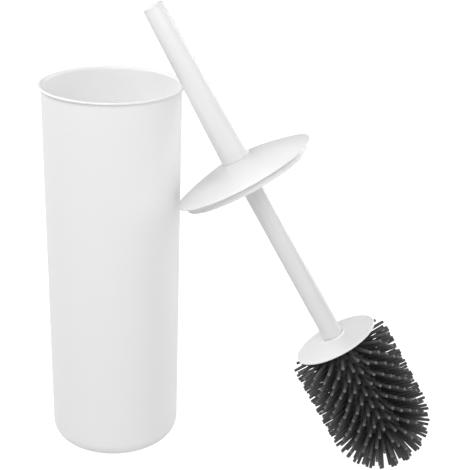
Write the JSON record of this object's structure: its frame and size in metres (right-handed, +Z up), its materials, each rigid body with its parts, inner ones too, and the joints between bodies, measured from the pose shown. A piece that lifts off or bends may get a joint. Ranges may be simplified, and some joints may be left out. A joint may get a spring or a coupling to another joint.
{
  "type": "toilet brush holder",
  "caption": "Tall round tub with a leaning toilet brush: tapered handle, domed lid with plug, rod, collar disc and rubber pin head that unscrews.",
  "frame": {"origin": "centre of the tub's flat underside, on the floor", "axes": "+Z up along the tub's axis; the brush leans on the +X side, a little towards -Y"},
  "size_m": [0.282, 0.1233, 0.328],
  "materials": {
    "white_plastic": "satin moulded polypropylene",
    "natural_plastic": "matt moulded",
    "grey_rubber": "soft satin rubber"
  },
  "bodies": {
    "holder": {"tub": "white_plastic"},
    "brush": {"lid_cover": "white_plastic", "lid_underplate": "white_plastic", "handle": "white_plastic", "handle_end_cap": "white_plastic", "handle_stud": "natural_plastic", "rod": "white_plastic", "rod_top_socket": "natural_plastic", "rod_end_stud": "natural_plastic"},
    "collar": {"collar_disc": "white_plastic"},
    "head": {"head_core": "natural_plastic", "bristle_sleeve": "grey_rubber"}
  },
  "joints": [
    {"name": "brush_lift", "type": "slide", "parent": "holder", "child": "brush", "axis": [0.2384, -0.0446, 0.9701], "range_m": [0, 0.3]},
    {"name": "collar_drop", "type": "slide", "parent": "brush", "child": "collar", "axis": [0.5004, -0.0936, -0.8607], "range_m": [0, 0.014]},
    {"name": "head_unscrew", "type": "hinge", "parent": "collar", "child": "head", "pos_m": [0.16132, -0.03019, 0.0951], "axis": [0.5004, -0.0936, -0.8607], "range_deg": [0, 2520]}
  ],
  "couplings": [
    {"joint": "head_unscrew", "follows": "collar_drop", "rad_per_m": 3141.6}
  ]
}
